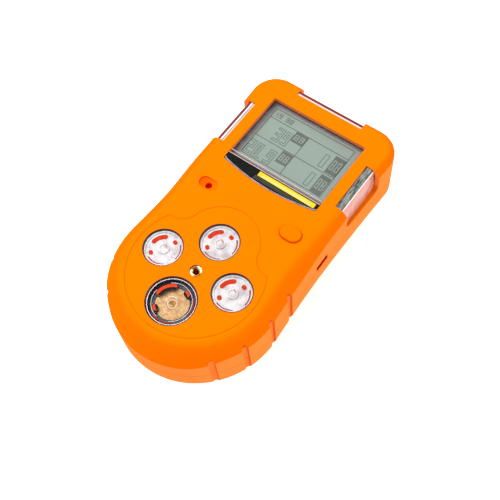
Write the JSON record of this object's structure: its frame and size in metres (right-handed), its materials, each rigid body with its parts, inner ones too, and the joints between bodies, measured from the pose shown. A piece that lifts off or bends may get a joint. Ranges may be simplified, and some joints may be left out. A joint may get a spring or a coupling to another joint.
{
  "type": "portable gas detector",
  "caption": "Handheld four-gas detector with a round sensor end, a sloped display, alarm-light windows and a sprung belt clip on its back.",
  "frame": {"origin": "under the middle of the body, on the surface that the belt clip rests on", "axes": "+X to the right, +Y towards the display end, +Z out of the front face"},
  "size_m": [0.07, 0.1316, 0.0436],
  "materials": {
    "orange_shell": "satin moulded",
    "orange_key": "satin moulded",
    "clear_window": "clear moulded plastic",
    "display_glass": "reflective display",
    "bezel_grey": "matt",
    "black_print": "gloss",
    "yellow_print": "gloss",
    "bright_trim": "bright",
    "port_white": "translucent moulded",
    "port_clear": "clear moulded plastic",
    "red_rubber": "matt",
    "filter_white": "matt membrane",
    "sinter_gold": "sintered",
    "sensor_body": "moulded with metal pins",
    "brass": "turned",
    "pcb_green": "solder mask",
    "chip_black": "matt",
    "contact_gold": "plated",
    "flex_amber": "film",
    "backlight_white": "diffuse",
    "battery_wrap": "shrink film",
    "foam_grey": "foam",
    "wire_red": "insulation",
    "plug_white": "moulded",
    "buzzer_black": "matt",
    "mesh_red": "fine mesh",
    "switch_black": "matt",
    "ir_red": "dark red filter",
    "led_clear": "moulded lens",
    "steel": "plain",
    "tungsten": "sintered",
    "screw_steel": "plated",
    "gasket_black": "matt",
    "label_silver": "blank film",
    "clip_black": "moulded"
  },
  "bodies": {
    "housing": {"front_shell": "orange_shell", "rear_shell": "orange_shell", "shell_gasket": "gasket_black", "case_screws": "screw_steel", "rear_label": "label_silver", "port_cover_left": "port_white", "port_cover_right": "port_white", "port_cover_top": "port_white", "port_cover_bottom": "port_clear", "port_gasket_left": "red_rubber", "port_gasket_right": "red_rubber", "port_gasket_top": "red_rubber", "port_gasket_bottom": "red_rubber", "filter_disc_left": "filter_white", "filter_disc_right": "filter_white", "filter_disc_top": "filter_white", "sinter_disc": "sinter_gold", "toxic_sensor_left": "sensor_body", "toxic_sensor_right": "sensor_body", "oxygen_sensor": "sensor_body", "combustible_sensor": "sensor_body", "sensor_sockets": "contact_gold", "sensor_pcb": "pcb_green", "brass_insert": "brass", "display_lens": "clear_window", "label_plate": "black_print", "label_trim": "bright_trim", "label_stripe": "yellow_print", "lcd_bezel": "bezel_grey", "lcd_glass": "display_glass", "backlight_panel": "backlight_white", "lcd_ribbon": "flex_amber", "alarm_window_right": "clear_window", "alarm_window_left": "clear_window", "alarm_window_top": "clear_window", "alarm_leds": "led_clear", "main_pcb": "pcb_green", "board_chips": "chip_black", "board_flex": "flex_amber", "battery_pack": "battery_wrap", "battery_foam": "foam_grey", "battery_lead": "wire_red", "battery_plug": "plug_white", "buzzer": "buzzer_black", "buzzer_mesh": "mesh_red", "switch_body": "switch_black", "ir_window": "ir_red", "ir_transceiver": "switch_black", "vibration_motor": "steel", "charge_contacts": "contact_gold", "clip_bracket": "clip_black", "clip_pin": "steel", "clip_spring": "steel", "clip_screws": "screw_steel"},
    "power_key": {"power_button": "orange_key", "switch_plunger": "switch_black"},
    "clip_lever": {"clip_arm": "clip_black"},
    "motor_rotor": {"motor_shaft": "steel", "motor_weight": "tungsten"}
  },
  "joints": [
    {"name": "power_press", "type": "slide", "parent": "housing", "child": "power_key", "axis": [0, 0, -1], "range_m": [0, 0.0008], "stiffness_N_per_m": 1500, "springref_m": -0.0006},
    {"name": "clip_pivot", "type": "hinge", "parent": "housing", "child": "clip_lever", "pos_m": [0, 0.02276, 0.0064], "axis": [1, 0, 0], "range_deg": [0, 20], "stiffness_Nm_per_rad": 0.3, "springref_deg": -20.05, "deforming": ["clip_spring"]},
    {"name": "motor_spin", "type": "hinge", "parent": "housing", "child": "motor_rotor", "pos_m": [0.0245, 0.03, 0.0224], "axis": [0, 1, 0], "continuous": true}
  ]
}
